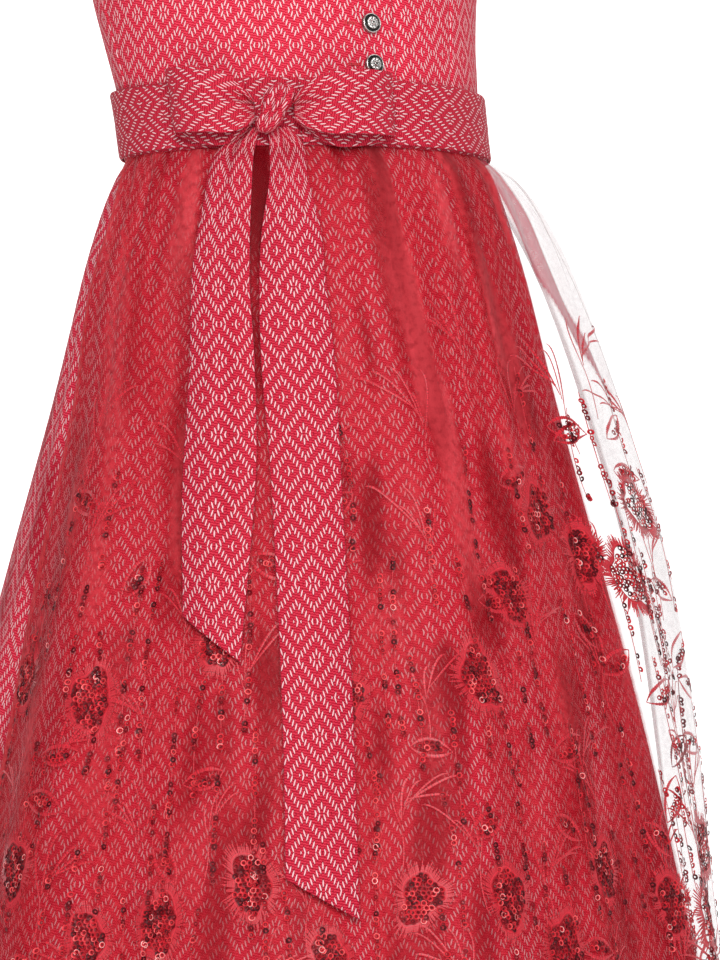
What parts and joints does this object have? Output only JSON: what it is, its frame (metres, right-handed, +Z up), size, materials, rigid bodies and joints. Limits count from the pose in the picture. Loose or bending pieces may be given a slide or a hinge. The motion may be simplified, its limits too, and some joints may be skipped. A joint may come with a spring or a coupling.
{
  "type": "dirndl",
  "caption": "Red sleeveless dirndl with a fitted bodice buttoned in front, a gathered skirt, and a sheer embroidered apron tied in a bow.",
  "frame": {"origin": "midway between the tops of the two shoulder straps, where the wearer holds the dress up", "axes": "+Z up, -Y the front of the dress, +X the wearer's left"},
  "size_m": [0.6364, 0.6045, 1.095],
  "materials": {
    "jacquard": "woven jacquard, satin sheen",
    "tie_jacquard": "woven jacquard, satin sheen",
    "organza": "sheer crisp organza",
    "embroidery": "satin stitched thread",
    "sequins": "glossy cup sequins",
    "sewing_thread": "twisted thread",
    "old_silver": "darkened silver-coloured metal"
  },
  "bodies": {
    "root": {"bodice_front_right": "jacquard", "bodice_front_left": "jacquard", "bodice_side_front_right": "jacquard", "bodice_side_front_left": "jacquard", "bodice_side_back_right": "jacquard", "bodice_side_back_left": "jacquard", "bodice_back_centre": "jacquard", "strap_right": "jacquard", "strap_left": "jacquard", "skirt_front": "jacquard", "skirt_back": "jacquard", "apron_waistband": "tie_jacquard", "tie_right": "tie_jacquard", "tie_left": "tie_jacquard", "bow_loop_right": "tie_jacquard", "bow_loop_left": "tie_jacquard", "bow_knot": "tie_jacquard", "bow_tail_short": "tie_jacquard", "bow_tail_long": "tie_jacquard", "apron": "organza", "button_1": "old_silver", "button_2": "old_silver", "button_3": "old_silver", "button_4": "old_silver", "button_5": "old_silver", "button_6": "old_silver"}
  },
  "joints": []
}
